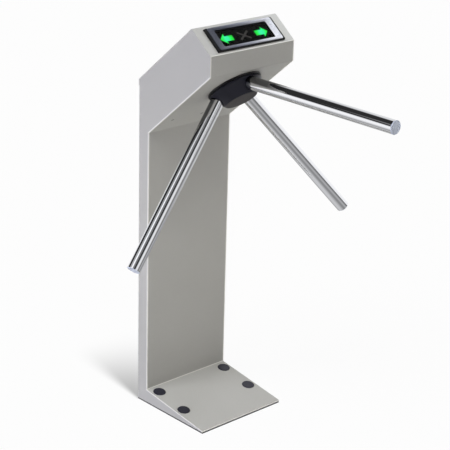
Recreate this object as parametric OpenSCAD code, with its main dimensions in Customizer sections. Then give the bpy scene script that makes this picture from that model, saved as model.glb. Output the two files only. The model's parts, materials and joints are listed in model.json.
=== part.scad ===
// Tripod turnstile on a one-sided stand, in millimetres.
// The origin is the middle of the four floor anchors. The passage is on the -Y side and +Z is up.
// The head's mechanism is drawn in a tilted frame whose Z axis is the hub's axis, positive into the head.

/* [Stand] */
// Width of the whole stand
body_w = 262; // [254:1:320]
// Depth of the column, from its rear plane to its front
column_depth = 35; // [32:1:45]
// Depth of the base, from the rear plane to its front edge
base_reach = 248; // [235:1:300]
// Height of the base's front edge
base_front_h = 7; // [6.5:0.5:12]
// Height of the base where it meets the column
base_rear_h = 38; // [30:1:50]
// Height at which the head's underside leaves the column
head_bottom_h = 718; // [660:1:780]
// Depth of the head, from the rear plane to its upright front
head_reach = 249; // [240:1:270]
// Slope of the head's underside and of its rear, in degrees
head_slope = 40.2; // [38:0.1:43]
// Thickness of the head, square to its underside
head_depth = 120; // [119:0.5:140]
// Height of the head's upright front
front_face_h = 50; // [46:1:58]
// Depth at which the rear slope meets the display slope
top_reach = 183; // [175:1:190]
// Thickness of the stand's sheet steel
sheet_t = 2; // [1.5:0.1:2.5]
// Outside radius of the folds
bend_r = 3; // [2.6:0.1:4]
// Height of the base plate's rim under the shell
foot_gap = 3.5; // [1.5:0.5:3.5]
// Length of the shell's return over the top of the head
top_return = 14; // [8:1:25]

/* [Floor anchors] */
// Distance from the stand's side to the nearest anchors
anchor_inset = 21; // [21:0.5:35]
// Distance between the anchors, along the base
anchor_pitch_y = 94; // [80:1:110]
// Distance from the rear plane to the first row of anchors
anchor_setback = 60; // [57:1:70]
// Diameter of the anchor holes in the base plate
anchor_hole_d = 14; // [11:0.5:16]
// Thickness of the base plate
base_plate_t = 4; // [3:0.1:4.2]
// Diameter of the plugs over the anchors
plug_d = 32; // [28:1:36]

/* [Covers] */
// Height of the head cover's lip, below its rear corner
lip_h = 18; // [12:1:26]
// How far the lip stands proud of the column
lip_proud = 2.5; // [2.3:0.1:4]
// Gap between a cover and the shell
cover_gap = 0.3; // [0.2:0.1:0.6]

/* [Display] */
// Width of the display's bezel at its foot
bezel_w = 209; // [190:1:214]
// Height of the display's bezel at its foot
bezel_h = 68.5; // [64:0.5:70]
// How far the bezel stands proud
bezel_proud = 5.5; // [4:0.5:7]
// How much the bezel's sides draw in
bezel_taper = 1.5; // [1:0.5:3]
// Width of the dark window
window_w = 160; // [150:1:168]
// Height of the dark window
window_h = 48.5; // [44:0.5:50]
// Width of the frame's slope down to the glass
trim_bevel = 4; // [2:0.5:5]
// Distance from the middle to each arrow
arrow_offset = 54; // [48:1:56]
// Length of an arrow
arrow_l = 39; // [32:1:40]
// Height of an arrow's head
arrow_h = 29; // [24:1:34]

/* [Hub and arms] */
// Distance from the head's lower front edge to the hub's axis, along the underside
hub_setback = 79; // [77:1:82]
// Outside radius of the fixed collar
collar_r = 68; // [67:0.5:72]
// Thickness of the fixed collar
collar_t = 4; // [3:0.5:5]
// Radius of the turning flange
flange_r = 66; // [64.5:0.5:66.5]
// Thickness of the turning flange
flange_t = 6; // [5:0.5:8]
// Distance from the head's underside to the hub's end face
hub_drop = 39.5; // [38:0.5:44]
// Height of the point where the arms' axes meet, inside the head
apex_h = 24; // [23:0.5:26]
// Outside diameter of an arm
arm_d = 32; // [30:0.5:33]
// Wall of an arm
arm_wall = 2; // [1.5:0.1:3]
// Distance from the axes' meeting point to an arm's end
arm_reach = 517; // [400:1:540]
// Width of the recess round each arm's root
arm_recess = 2.2; // [1:0.1:2.5]

/* [Shaft and wheels] */
// Diameter of the main shaft
shaft_d = 20; // [18:1:22]
// Outside diameter of the shaft's bearings
bearing_od = 47; // [44:1:52]
// Width of a bearing
bearing_w = 14; // [12:1:15]
// Module of the gears
gear_module = 2.5; // [2.4:0.02:2.54]
// Teeth on the drive gear, three times the pinion's
pinion_teeth = 16; // [16:1:16]
// Face width of the drive gear
gear_w = 7; // [5:0.5:7]
// Radius over the index wheel's lobes
lobe_r = 62; // [60:0.5:62.5]
// Half the angle of a lobe, in degrees
lobe_half = 5; // [4:0.5:5.5]
// Thickness of the index wheel
index_t = 8; // [7:0.5:8]
// Height of the mechanism plate above the head's underside
plate_h = 34; // [33:0.5:34]
// Thickness of the mechanism plate
plate_t = 6; // [4:0.5:6]

/* [Locks] */
// Swing of a locking pawl, in degrees
pawl_swing = 16; // [14:0.5:17]
// Distance from a pawl's pivot to its tooth
pawl_reach = 67.5; // [66:0.5:69]
// Length of a pawl's tail, from the pivot to the plunger's pin
tail_reach = 24; // [22:0.5:25]

/* [Hidden] */
$fn = 64;

// Small clearances and the overrun of every cut
overrun = 1;
seat_gap = 0.3;
running = 0.05;
mesh_backlash = 0.12;

// Width of small chamfers, lips and edges
edge = 1;

// Steel grey, black, silver and the other finishes
paint_grey = [0.66, 0.65, 0.63];
paint_dark = [0.30, 0.30, 0.31];
satin_black = [0.08, 0.08, 0.10];
cap_grey = [0.27, 0.26, 0.25];
chrome_tone = [0.80, 0.81, 0.83];
steel_tone = [0.58, 0.59, 0.61];
silver_tone = [0.55, 0.57, 0.62];
brass_tone = [0.75, 0.62, 0.30];
green_tone = [0.05, 0.85, 0.30];
dim_tone = [0.22, 0.19, 0.16];
board_tone = [0.08, 0.32, 0.16];

// The column's cross-section and the head's corners, as depths from the rear plane
rear_y = anchor_setback + anchor_pitch_y / 2;
anchor_pitch_x = body_w - 2 * anchor_inset;
under_l = (head_reach - column_depth) / cos(head_slope);
hub_s = under_l - hub_setback;
front_low_h = head_bottom_h + (head_reach - column_depth) * tan(head_slope);
front_high_h = front_low_h + front_face_h;
rear_top_h = head_bottom_h + (head_depth - column_depth * sin(head_slope)) / cos(head_slope);
top_h = rear_top_h + top_reach * tan(head_slope);
display_slope = atan2(top_h - front_high_h, head_reach - top_reach);
display_l = (head_reach - top_reach) / cos(display_slope);
base_slope = atan2(base_rear_h - base_front_h, base_reach - column_depth);
half_w = body_w / 2;
inner_half_w = half_w - sheet_t;
arm_cone = 90 - head_slope;

function at(depth, height) = [rear_y - depth, height];
function unit(v) = v / norm(v);
function turned(v, a) = [v.x * cos(a) - v.y * sin(a), v.x * sin(a) + v.y * cos(a)];
function side_dir(p, i) = unit(p[(i + 1) % len(p)] - p[i]);
function inward(p, i) = let (u = side_dir(p, i)) [u.y, -u.x];

// Moves each side of a clockwise outline inward by its own amount
function inset_corner(p, o, i) =
  let (
    j = (i + len(p) - 1) % len(p),
    u = side_dir(p, j),
    v = side_dir(p, i),
    a = p[i] + o[j] * inward(p, j),
    b = p[i] + o[i] * inward(p, i)
  ) a + u * cross(b - a, v) / cross(u, v);
function inset(p, o) = [for (i = [0:len(p) - 1]) inset_corner(p, o, i)];

// Rounds each corner of an outline by its own radius
fold_steps = 5;
function fold(p, i, r) =
  let (
    n = len(p),
    u = side_dir(p, (i + n - 1) % n),
    v = side_dir(p, i),
    turn = acos(u * v),
    s = sign(cross(u, v)),
    across = s * [-u.y, u.x],
    start = p[i] - u * r * tan(turn / 2),
    middle = start + across * r
  ) r <= 0 ? [p[i]] : [for (k = [0:fold_steps]) middle - r * turned(across, s * turn * k / fold_steps)];
function folded(p, radii) = [for (i = [0:len(p) - 1]) each fold(p, i, radii[i])];

// The stand's side outline, clockwise from the rear foot
outline = [
  at(0, 0), at(base_reach, 0), at(base_reach, base_front_h), at(column_depth, base_rear_h),
  at(column_depth, head_bottom_h), at(head_reach, front_low_h), at(head_reach, front_high_h),
  at(top_reach, top_h), at(0, rear_top_h)];
outer_folds = [0, 0, bend_r, bend_r, bend_r, bend_r, bend_r, bend_r, 0];
inner_r = bend_r - sheet_t;
inner_folds = [0, 0, 0, bend_r + sheet_t, bend_r + sheet_t, inner_r, inner_r, inner_r, 0];

// A side outline pushed out evenly to both sides of the middle
module across_width(points, width) {
  translate([-width / 2, 0, 0]) rotate([90, 0, 90]) linear_extrude(width) polygon(points);
}

// The frame of the hub: its axis, with the head's underside at zero and Z into the head
hub_y = rear_y - column_depth - hub_s * cos(head_slope);
hub_z = head_bottom_h + hub_s * sin(head_slope);
module at_hub() {
  translate([0, hub_y, hub_z]) rotate([-head_slope, 0, 0]) children();
}

// The frame of the display: its middle on the display slope, with Z outward
display_shift = 2.4;
module at_display() {
  translate([0, rear_y - head_reach, front_high_h]) rotate([display_slope, 0, 0])
    translate([0, display_l / 2 - display_shift, 0]) children();
}

// The frame of an anchor on the sloping top of the base
module at_plug(sx, row) {
  depth = anchor_setback + row * anchor_pitch_y;
  height = base_rear_h - (depth - column_depth) * tan(base_slope);
  translate([sx * anchor_pitch_x / 2, rear_y - depth, height]) rotate([base_slope, 0, 0]) children();
}

module on_each_anchor() {
  for (sx = [-1, 1]) {
    for (row = [0, 1]) {
      at_plug(sx, row) children();
    }
  }
}

// A ring with a square section, between two heights
module ring(outer, inner, low, high) {
  difference() {
    translate([0, 0, low]) cylinder(r = outer, h = high - low);
    translate([0, 0, low - overrun]) cylinder(r = inner, h = high - low + 2 * overrun);
  }
}

module disc(radius, low, high) {
  translate([0, 0, low]) cylinder(r = radius, h = high - low);
}

// A box centred in X and Y, between two heights
module block(w, d, low, high) {
  translate([-w / 2, -d / 2, low]) cube([w, d, high - low]);
}

// A plate with rounded corners, centred
module rounded_plate(w, d, r, low, high) {
  translate([0, 0, low]) linear_extrude(high - low) {
    square([w - 2 * r, d], center = true);
    square([w, d - 2 * r], center = true);
    for (sx = [-1, 1]) {
      for (sy = [-1, 1]) {
        translate([sx * (w / 2 - r), sy * (d / 2 - r)]) circle(r);
      }
    }
  }
}

// A spring as one unbroken tube along X, drawn in to its axis at both ends
function spring_point(r, length, turns, t) =
  let (out = r * min(1, turns * t, turns * (1 - t)))
  [length * t, out * cos(360 * turns * t), out * sin(360 * turns * t)];
ring_steps = 8;
tube_sides = 6;
module spring(r, wire_r, length, turns) {
  count = ring_steps * turns;
  path = [for (k = [0:count]) spring_point(r, length, turns, k / count)];
  last = len(path) - 1;
  points = [
    for (k = [0:last])
      let (
        ahead = unit(path[min(k + 1, last)] - path[max(k - 1, 0)]),
        out = [0, cos(360 * turns * k / count), sin(360 * turns * k / count)],
        side = unit(cross(ahead, out)),
        up = cross(side, ahead)
      )
      for (j = [0:tube_sides - 1])
        path[k] + wire_r * (up * cos(360 * j / tube_sides) + side * sin(360 * j / tube_sides))];
  walls = [
    for (k = [0:last - 1])
      for (j = [0:tube_sides - 1])
        let (a = k * tube_sides + j, b = k * tube_sides + (j + 1) % tube_sides)
        each [[a, b, b + tube_sides], [a, b + tube_sides, a + tube_sides]]];
  caps = [
    for (j = [1:tube_sides - 2])
      each [[0, j + 1, j], [last * tube_sides, last * tube_sides + j, last * tube_sides + j + 1]]];
  polyhedron(points, concat(walls, caps));
}

// The head cover's outline: the rear slope and the lip behind the column
cover_t = sheet_t;
cover_step = cover_t + cover_gap;
up_slope = [cos(head_slope), sin(head_slope)];
slope_in = [sin(head_slope), -cos(head_slope)];
cover_start = [top_reach, top_h] - top_return * up_slope;
cover_l = top_reach / cos(head_slope) - top_return;
lip_foot_h = rear_top_h - lip_h;
column_cover_top = lip_foot_h + lip_h / 2;
function depth_point(p) = at(p.x, p.y);
function on_cover(along, below) = depth_point(cover_start - along * up_slope + below * slope_in);
function cover_outline(slack, rise) =
  let (inner_face = cover_t - lip_proud + slack, thick = cover_t + slack)
  [
    on_cover(-slack, -rise),
    at(-lip_proud - rise, rear_top_h - lip_proud * tan(head_slope) + rise),
    at(-lip_proud - rise, lip_foot_h - slack),
    at(inner_face, lip_foot_h - slack),
    at(inner_face, rear_top_h + inner_face * tan(head_slope) - thick / cos(head_slope)),
    on_cover(-slack, thick)];

// Places on the head's underside
collar_lap = 3.5;
hub_hole_r = collar_r - collar_lap;
underside_screw_pitch = 92;
underside_screw_s = 55;
small_screw_r = 2.5;
small_head_r = 4.2;
small_sink = small_head_r - small_screw_r;
module on_underside_screws() {
  for (i = [-1:1]) {
    translate([i * underside_screw_pitch, hub_s - underside_screw_s, 0]) children();
  }
}

// Plugs and the display's cut-out
plug_lap = 1.5;
plug_skirt_r = plug_d / 2 - plug_lap;
cut_past_window_w = 20;
cut_past_window_h = 6;
window_cut_w = window_w + cut_past_window_w;
window_cut_h = window_h + cut_past_window_h;

// The cover's lock, as its place in the hub's frame
lock_inset = 46;
lock_x = half_w - lock_inset;
lock_s = 73;
lock_body_r = 9;
lock_plug_r = 5;
lock_depth = 20;
cam_t = 2.5;
cam_l = 38;
cam_w = 12;
catch_w = 17;
catch_l = 24;
lock_low = head_depth - lock_depth;
cam_top = lock_low - seat_gap;
module at_lock() {
  at_hub() translate([lock_x, hub_s - lock_s, 0]) children();
}

module cavity(width) {
  walls = [-overrun, sheet_t, sheet_t, sheet_t, sheet_t, sheet_t, sheet_t, sheet_t, -overrun];
  across_width(folded(inset(outline, walls), inner_folds), width);
}

module stand_shell() {
  color(paint_grey) difference() {
    across_width(folded(inset(outline, [foot_gap, 0, 0, 0, 0, 0, 0, 0, 0]), outer_folds), body_w);
    cavity(body_w - 2 * sheet_t);
    across_width(cover_outline(cover_gap, overrun), body_w + 2 * overrun);
    translate([-half_w - overrun, rear_y - cover_step, -overrun])
      cube([body_w + 2 * overrun, cover_step + overrun, column_cover_top + cover_gap + overrun]);
    at_hub() disc(hub_hole_r, -overrun, sheet_t + overrun);
    at_hub() on_underside_screws() disc(small_screw_r, -overrun, sheet_t + overrun);
    at_hub() on_underside_screws() translate([0, 0, -overrun])
      cylinder(r1 = small_head_r + overrun, r2 = small_screw_r, h = small_sink + overrun);
    at_display() block(window_cut_w, window_cut_h, -sheet_t - overrun, overrun);
    on_each_anchor() disc(plug_skirt_r + seat_gap, -sheet_t - overrun, overrun);
  }
  color(paint_grey) at_lock()
    translate([inner_half_w - lock_x - catch_w, -catch_l / 2, cam_top + seat_gap])
    cube([catch_w, catch_l, sheet_t]);
}

cover_return = 10;
module column_cover() {
  return_x = inner_half_w - cover_gap - cover_t;
  color(paint_grey) difference() {
    union() {
      translate([-half_w, rear_y - cover_t, foot_gap]) cube([body_w, cover_t, column_cover_top - foot_gap]);
      for (sx = [-1, 1]) {
        translate([sx * (return_x + cover_t / 2), rear_y - cover_return / 2, 0])
          block(cover_t, cover_return, base_plate_t + seat_gap, column_cover_top);
      }
    }
    on_cover_screws() disc(small_screw_r, -cover_t - overrun, overrun);
  }
}

cover_return_drop = 8;
module head_cover() {
  reach = cover_l - 2 * cover_return;
  flange = [
    on_cover(cover_return, cover_t / 2), on_cover(reach, cover_t / 2),
    on_cover(reach - cover_return_drop, cover_t + cover_return_drop),
    on_cover(cover_return + cover_return_drop, cover_t + cover_return_drop)];
  color(paint_grey) difference() {
    union() {
      across_width(cover_outline(0, 0), body_w);
      for (sx = [-1, 1]) {
        translate([sx * (inner_half_w - cover_gap - cover_t / 2), 0, 0]) across_width(flange, cover_t);
      }
    }
    at_lock() disc(lock_body_r + seat_gap, head_depth - cover_t - overrun, head_depth + overrun);
  }
}

cable_hole_r = 12.5;
plate_edge = 0.3;
module base_plate() {
  foot_w = body_w - 2 * plate_edge;
  foot_l = base_reach - 2 * plate_edge;
  color(paint_dark) difference() {
    union() {
      translate([-foot_w / 2, rear_y - base_reach + plate_edge, 0])
        cube([foot_w, foot_l, min(foot_gap, base_plate_t)]);
      translate([-inner_half_w, rear_y - base_reach + sheet_t, 0])
        cube([2 * inner_half_w, base_reach - sheet_t - cover_step, base_plate_t]);
    }
    for (sx = [-1, 1]) {
      for (sy = [-1, 1]) {
        translate([sx * anchor_pitch_x / 2, sy * anchor_pitch_y / 2, 0])
          disc(anchor_hole_d / 2, -overrun, base_plate_t + overrun);
      }
    }
    translate([0, rear_y - column_depth / 2, 0]) disc(cable_hole_r, -overrun, base_plate_t + overrun);
  }
}

// Sleeves that hold the wedge's top off the plate and leave room for each anchor's nut
sleeve_wall = 2;
sleeve_slack = 2;
module anchor_sleeves() {
  inner = plug_skirt_r + sleeve_slack;
  color(steel_tone) intersection() {
    cavity(2 * inner_half_w);
    for (sx = [-1, 1]) {
      for (sy = [-1, 1]) {
        translate([sx * anchor_pitch_x / 2, sy * anchor_pitch_y / 2, 0])
          ring(inner + sleeve_wall, inner, base_plate_t, base_rear_h);
      }
    }
  }
}

plug_cap_t = 2.2;
plug_skirt_l = 5;
plug_dish = 0.6;
plug_rim = 3;
module anchor_plugs() {
  rim_r = plug_d / 2 - plug_rim;
  color(satin_black) on_each_anchor() rotate_extrude() polygon([
    [0, 0], [plug_skirt_r - plug_cap_t, 0], [plug_skirt_r - plug_cap_t, -plug_skirt_l],
    [plug_skirt_r, -plug_skirt_l], [plug_skirt_r, 0], [plug_d / 2, 0], [plug_d / 2, plug_cap_t - edge],
    [plug_d / 2 - edge, plug_cap_t],
    [rim_r, plug_cap_t], [rim_r - edge, plug_cap_t - plug_dish], [0, plug_cap_t - plug_dish]]);
}

// Two box-section posts that stiffen the column, and the screws that hold its cover to them
post_w = 40;
post_wall = 2;
post_inset = 51;
post_x = half_w - post_inset;
post_below_head = 30;
post_top = head_bottom_h - post_below_head;
screw_height_shares = [0.09, 0.52, 0.96];
module on_cover_screws() {
  for (sx = [-1, 1]) {
    for (share = screw_height_shares) {
      translate([sx * post_x, rear_y, share * post_top]) rotate([-90, 0, 0]) children();
    }
  }
}

module frame_posts() {
  post_d = column_depth - sheet_t - cover_step;
  color(steel_tone) difference() {
    for (sx = [-1, 1]) {
      translate([sx * post_x, rear_y - cover_step - post_d / 2, 0]) difference() {
        block(post_w, post_d, base_plate_t, post_top);
        block(post_w - 2 * post_wall, post_d - 2 * post_wall, base_plate_t - overrun, post_top + overrun);
      }
    }
    on_cover_screws() disc(small_screw_r, -cover_step - post_wall - overrun, overrun);
  }
}

cover_screw_l = 8;
cover_head_h = 2.2;
module cover_screws() {
  shank_r = small_screw_r - running;
  color(steel_tone) on_cover_screws() rotate_extrude() polygon([
    [0, -cover_screw_l], [shank_r, -cover_screw_l], [shank_r, 0], [small_head_r, 0],
    [small_head_r, cover_head_h - edge], [small_head_r - edge, cover_head_h], [0, cover_head_h]]);
}

module underside_screws() {
  shank_r = small_screw_r - 2 * running;
  shank_top = foot_t + sheet_t + small_sink;
  color(steel_tone) at_hub() on_underside_screws() rotate_extrude() polygon([
    [0, 0], [small_head_r - 2 * running, 0], [shank_r, small_sink], [shank_r, shank_top], [0, shank_top]]);
}

// A block whose four sides draw in towards its top
module tapered_block(w, d, taper, high) {
  intersection() {
    translate([0, d, 0]) rotate([90, 0, 0]) linear_extrude(2 * d)
      polygon([[-w / 2, 0], [w / 2, 0], [w / 2 - taper, high], [-w / 2 + taper, high]]);
    translate([-w, 0, 0]) rotate([90, 0, 90]) linear_extrude(2 * w)
      polygon([[-d / 2, 0], [d / 2, 0], [d / 2 - taper, high], [-d / 2 + taper, high]]);
  }
}

// The display, from its glass down to its lamp board
window_r = 4;
trim_t = 2.4;
trim_lip = 0.8;
trim_side = 5;
trim_end = 0.8;
glass_t = 2;
glass_lap = 3;
mask_t = 2;
bezel_floor = 1;
lens_l = 5;
lamp_r = 2.5;
lamp_h = 2;
lamp_pitch = 9;
bezel_back = 10;
bezel_wall = 2;
board_t = 1.6;
trim_w = bezel_w - 2 * bezel_taper - 2 * trim_side;
trim_h = bezel_h - 2 * bezel_taper - 2 * trim_end;
glass_top = bezel_proud - trim_t / 2;
glass_w = window_w + 2 * glass_lap;
glass_h = window_h + 2 * glass_lap;
inner_w = window_cut_w - 2 * seat_gap - 2 * bezel_wall;
inner_h = window_cut_h - 2 * seat_gap - 2 * bezel_wall;
lens_low = -bezel_floor - lens_l;
board_top = lens_low - seat_gap - lamp_h;

module display_bezel() {
  color(satin_black) at_display() difference() {
    union() {
      tapered_block(bezel_w, bezel_h, bezel_taper, bezel_proud);
      block(window_cut_w - 2 * seat_gap, window_cut_h - 2 * seat_gap, -bezel_back, glass_top - glass_t);
    }
    rounded_plate(trim_w + seat_gap, trim_h + seat_gap, window_r, glass_top, bezel_proud + overrun);
    rounded_plate(glass_w + seat_gap, glass_h + seat_gap, window_r, glass_top - glass_t, bezel_proud + overrun);
    rounded_plate(window_w, window_h, window_r, -bezel_floor - overrun, bezel_proud);
    block(inner_w, inner_h, -bezel_back - overrun, -bezel_floor);
  }
}

module display_trim() {
  color(silver_tone) at_display() difference() {
    rounded_plate(trim_w, trim_h, window_r, glass_top, glass_top + trim_t);
    rounded_plate(window_w, window_h, window_r, glass_top - overrun, glass_top + trim_t + overrun);
    translate([0, 0, glass_top + trim_lip])
      tapered_block(window_w, window_h, -2 * trim_bevel, 2 * (trim_t - trim_lip));
  }
}

module display_glass() {
  color(satin_black, 0.4) at_display()
    rounded_plate(glass_w, glass_h, window_r, glass_top - glass_t, glass_top);
}

// An arrow that points along X, widened by a little slack for the hole round it
head_l_share = 0.42;
shaft_h_share = 0.5;
module arrow_shape(slack) {
  barb = arrow_l * (0.5 - head_l_share) - slack;
  tip = arrow_l / 2 + 2 * slack;
  tail = -arrow_l / 2 - slack;
  head_h = arrow_h / 2 + 2 * slack;
  shaft_h = arrow_h * shaft_h_share / 2 + slack;
  polygon([
    [tip, 0], [barb, head_h], [barb, shaft_h], [tail, shaft_h], [tail, -shaft_h], [barb, -shaft_h],
    [barb, -head_h]]);
}

cross_bar = 5;
cross_angle = 34;
module cross_shape(slack) {
  for (a = [-1, 1]) {
    rotate(a * cross_angle) square([arrow_l + 2 * slack, cross_bar + 2 * slack], center = true);
  }
}

module facing(sx) {
  translate([sx * arrow_offset, 0, 0]) mirror([(1 - sx) / 2, 0, 0]) children();
}

module symbol_mask() {
  lens_slack = seat_gap / 2;
  color(satin_black) at_display() difference() {
    block(inner_w - seat_gap, inner_h - seat_gap, -bezel_floor - mask_t, -bezel_floor);
    translate([0, 0, lens_low]) linear_extrude(lens_l + overrun) {
      facing(-1) arrow_shape(lens_slack);
      facing(1) arrow_shape(lens_slack);
      cross_shape(lens_slack);
    }
  }
}

module lens() {
  at_display() translate([0, 0, lens_low]) linear_extrude(lens_l) children();
}

module arrow_left() {
  color(green_tone) lens() facing(-1) arrow_shape(0);
}

module arrow_right() {
  color(green_tone) lens() facing(1) arrow_shape(0);
}

module cross_symbol() {
  color(dim_tone) lens() cross_shape(0);
}

module lamp_board() {
  color(board_tone) at_display() union() {
    block(inner_w - seat_gap, inner_h - seat_gap, board_top - board_t, board_top);
    for (sx = [-1:1]) {
      for (i = [-1:1]) {
        translate([sx * arrow_offset + i * lamp_pitch, 0, 0])
          disc(lamp_r, board_top - board_t / 2, board_top + lamp_h);
      }
    }
  }
}

// The fixed collar, with a spigot through the hole in the head
cone_sin = sin(arm_cone);
cone_cos = cos(arm_cone);
spigot_wall = 1.5;
collar_spigot_r = hub_hole_r - seat_gap;
collar_inner_r = collar_spigot_r - spigot_wall;
module hub_collar() {
  spigot_top = sheet_t + spigot_wall;
  color(satin_black) at_hub() rotate_extrude($fn = 96) polygon([
    [collar_inner_r, -collar_t], [collar_r - edge, -collar_t], [collar_r, -collar_t + edge], [collar_r, 0],
    [collar_spigot_r, 0], [collar_spigot_r, spigot_top], [collar_inner_r, spigot_top]]);
}

// The turning hub: its arms' bores run square to its cone, and its back is bored for the shaft
arms = 3;
arm_step = 360 / arms;
hub_gap = 1;
hub_web = 6;
root_past_meet = 16;
boss_gap = 1.2;
boss_back_web = 8.4;
boss_shoulder = 3;
flange_step = 2.5;
cone_drop = 1.5;
cap_recess = 3;
cap_rim = 2.5;
cap_proud = 0.5;
bore_r = arm_d / 2 + running;
arm_spread = acos(1 - 1.5 * cone_sin * cone_sin);
arm_root = arm_d / 2 / tan(arm_spread / 2) + root_past_meet;
boss_top = apex_h - arm_root * cone_cos + bore_r * cone_sin + hub_web;
boss_r = collar_inner_r - boss_gap;
boss_back_r = arm_root * cone_sin + bore_r * cone_cos + boss_back_web;
flange_top = -collar_t - hub_gap;
flange_low = flange_top - flange_t;
side_low = -hub_drop + edge;
side_start = [flange_r - flange_step, flange_low - cone_drop];
side_end = [side_start.x - (side_start.y - side_low) * cone_cos / cone_sin, side_low];
cap_r = side_end.x - cap_rim;
cap_seat = -hub_drop + cap_recess;

module at_arm(i) {
  at_hub() rotate([0, 0, arm_step * i]) translate([0, 0, apex_h]) rotate([180 - arm_cone, 0, 0]) children();
}

// Height of the underside of an arm's root at a distance from the hub's axis
function root_low(r) = apex_h - (r * cone_cos + bore_r) / cone_sin;
set_screw_r = 4;
set_screw_at = 25;
set_screw_top = root_low(set_screw_at + set_screw_r) - seat_gap;
bolt_r = 5;
bolt_head_r = 8;
bolt_head_h = 9;
head_slack = 1;
bolt_seat = cap_seat + head_slack + bolt_head_h;
bolt_l = 38;
spigot_low = 4;
shaft_r = shaft_d / 2 - running;
flange_screw_r = 3;
flange_screw_at = 24;

flange_head_r = 5;
flange_head_h = 4.5;
flange_screw_l = 12;
recess_depth = 3.5;

// Between the arms, and in line with them
module between_arms(r) {
  for (i = [1:arms]) {
    rotate([0, 0, arm_step * (i - 0.5)]) translate([0, -r, 0]) children();
  }
}

module in_line_with_arms(r) {
  for (i = [1:arms]) {
    rotate([0, 0, arm_step * i]) translate([0, -r, 0]) children();
  }
}

// Distance along an arm at which it leaves the hub's cone
side_slope = cone_sin / cone_cos;
side_reach = (apex_h - side_start.y + side_start.x * side_slope) / (cone_cos + cone_sin * side_slope);

module hub_body() {
  color(satin_black) difference() {
    at_hub() rotate_extrude($fn = 96) polygon([
      [0, boss_top], [boss_back_r, boss_top], [boss_r, boss_shoulder], [boss_r, flange_top],
      [flange_r - edge, flange_top], [flange_r, flange_top - edge], [flange_r, flange_low + edge],
      [flange_r - edge, flange_low], side_start, side_end, [side_end.x - edge, -hub_drop],
      [cap_r + seat_gap, -hub_drop], [cap_r + seat_gap, cap_seat], [0, cap_seat]]);
    for (i = [1:arms]) {
      at_arm(i) disc(bore_r, arm_root - seat_gap, arm_reach);
      at_arm(i) disc(arm_d / 2 + arm_recess, side_reach - recess_depth, arm_reach);
    }
    at_hub() disc(bolt_r + 2 * running, -hub_drop, boss_top);
    at_hub() disc(bolt_head_r + head_slack, -hub_drop, bolt_seat);
    at_hub() disc(shaft_d / 2, spigot_low - seat_gap, boss_top + overrun);
    at_hub() between_arms(flange_screw_at) disc(flange_screw_r, boss_top - flange_screw_l, boss_top + overrun);
    at_hub() in_line_with_arms(set_screw_at) disc(set_screw_r, -hub_drop, root_low(set_screw_at));
  }
}

module hub_cap() {
  color(cap_grey) at_hub() rotate_extrude($fn = 96) polygon([
    [0, cap_seat], [cap_r, cap_seat], [cap_r, -hub_drop - cap_proud + edge],
    [cap_r - edge, -hub_drop - cap_proud], [0, -hub_drop - cap_proud]]);
}

module hub_bolt() {
  color(steel_tone) at_hub() difference() {
    union() {
      disc(bolt_head_r, bolt_seat - bolt_head_h, bolt_seat);
      disc(bolt_r, bolt_seat, bolt_seat + bolt_l);
    }
    translate([0, 0, bolt_seat - bolt_head_h - overrun]) cylinder(r = bolt_r, h = bolt_r + overrun, $fn = 6);
  }
}

cap_lip = 1.5;
cap_plug_l = 14;
cap_bevel_w = 1.5;
cap_dish = 0.5;
root_plug_l = 36;

// Each arm, its end cap and the plug that stiffens its root
module arm_tube(i) {
  color(chrome_tone) at_arm(i) ring(arm_d / 2, arm_d / 2 - arm_wall, arm_root, arm_reach - cap_lip);
}

module arm_1() {
  arm_tube(arms);
}

module arm_2() {
  arm_tube(1);
}

module arm_3() {
  arm_tube(2);
}

module arm_cap(i) {
  plug_r = arm_d / 2 - arm_wall - running;
  rim_r = arm_d / 2 - edge;
  color(chrome_tone) at_arm(i) rotate_extrude() polygon([
    [0, arm_reach - cap_plug_l], [plug_r, arm_reach - cap_plug_l], [plug_r, arm_reach - cap_lip],
    [arm_d / 2, arm_reach - cap_lip], [arm_d / 2, arm_reach - edge], [rim_r, arm_reach],
    [rim_r - cap_bevel_w, arm_reach], [rim_r - cap_bevel_w - cap_dish, arm_reach - cap_dish],
    [0, arm_reach - cap_dish]]);
}

module arm_cap_1() {
  arm_cap(arms);
}

module arm_cap_2() {
  arm_cap(1);
}

module arm_cap_3() {
  arm_cap(2);
}

module arm_root_plugs() {
  color(steel_tone) for (i = [1:arms]) {
    at_arm(i) disc(arm_d / 2 - arm_wall - running, arm_root, arm_root + root_plug_l);
  }
}

module arm_set_screws() {
  set_screw_low = cap_seat + head_slack;
  color(steel_tone) at_hub() in_line_with_arms(set_screw_at) difference() {
    disc(set_screw_r - running, set_screw_low, set_screw_top);
    translate([0, 0, set_screw_low - overrun]) cylinder(r = set_screw_r / 2, h = set_screw_r, $fn = 6);
  }
}

// The shaft and all that sits on it, stacked upwards from the plate
shaft_flange_t = 6;
shaft_flange_r = 32;
shoulder_w = 3;
between_bearings = 2;
housing_rim = 1.5;
wheel_gap = 2;
disc_gap = 4;
disc_t = 1.5;
nut_h = 6.5;
nut_w = 6;
shoulder_r = shaft_d / 2 + shoulder_w;
plate_top = plate_h + plate_t;
upper_bearing_low = plate_top + bearing_w + between_bearings;
upper_bearing_top = upper_bearing_low + bearing_w;
housing_top = upper_bearing_top + housing_rim;
index_low = housing_top + wheel_gap;
index_top = index_low + index_t;
gear_low = index_top + wheel_gap;
gear_top = gear_low + gear_w;
disc_low = gear_top + disc_gap;
nut_low = disc_low + disc_t;
shaft_top = nut_low + nut_h + edge;

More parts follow.
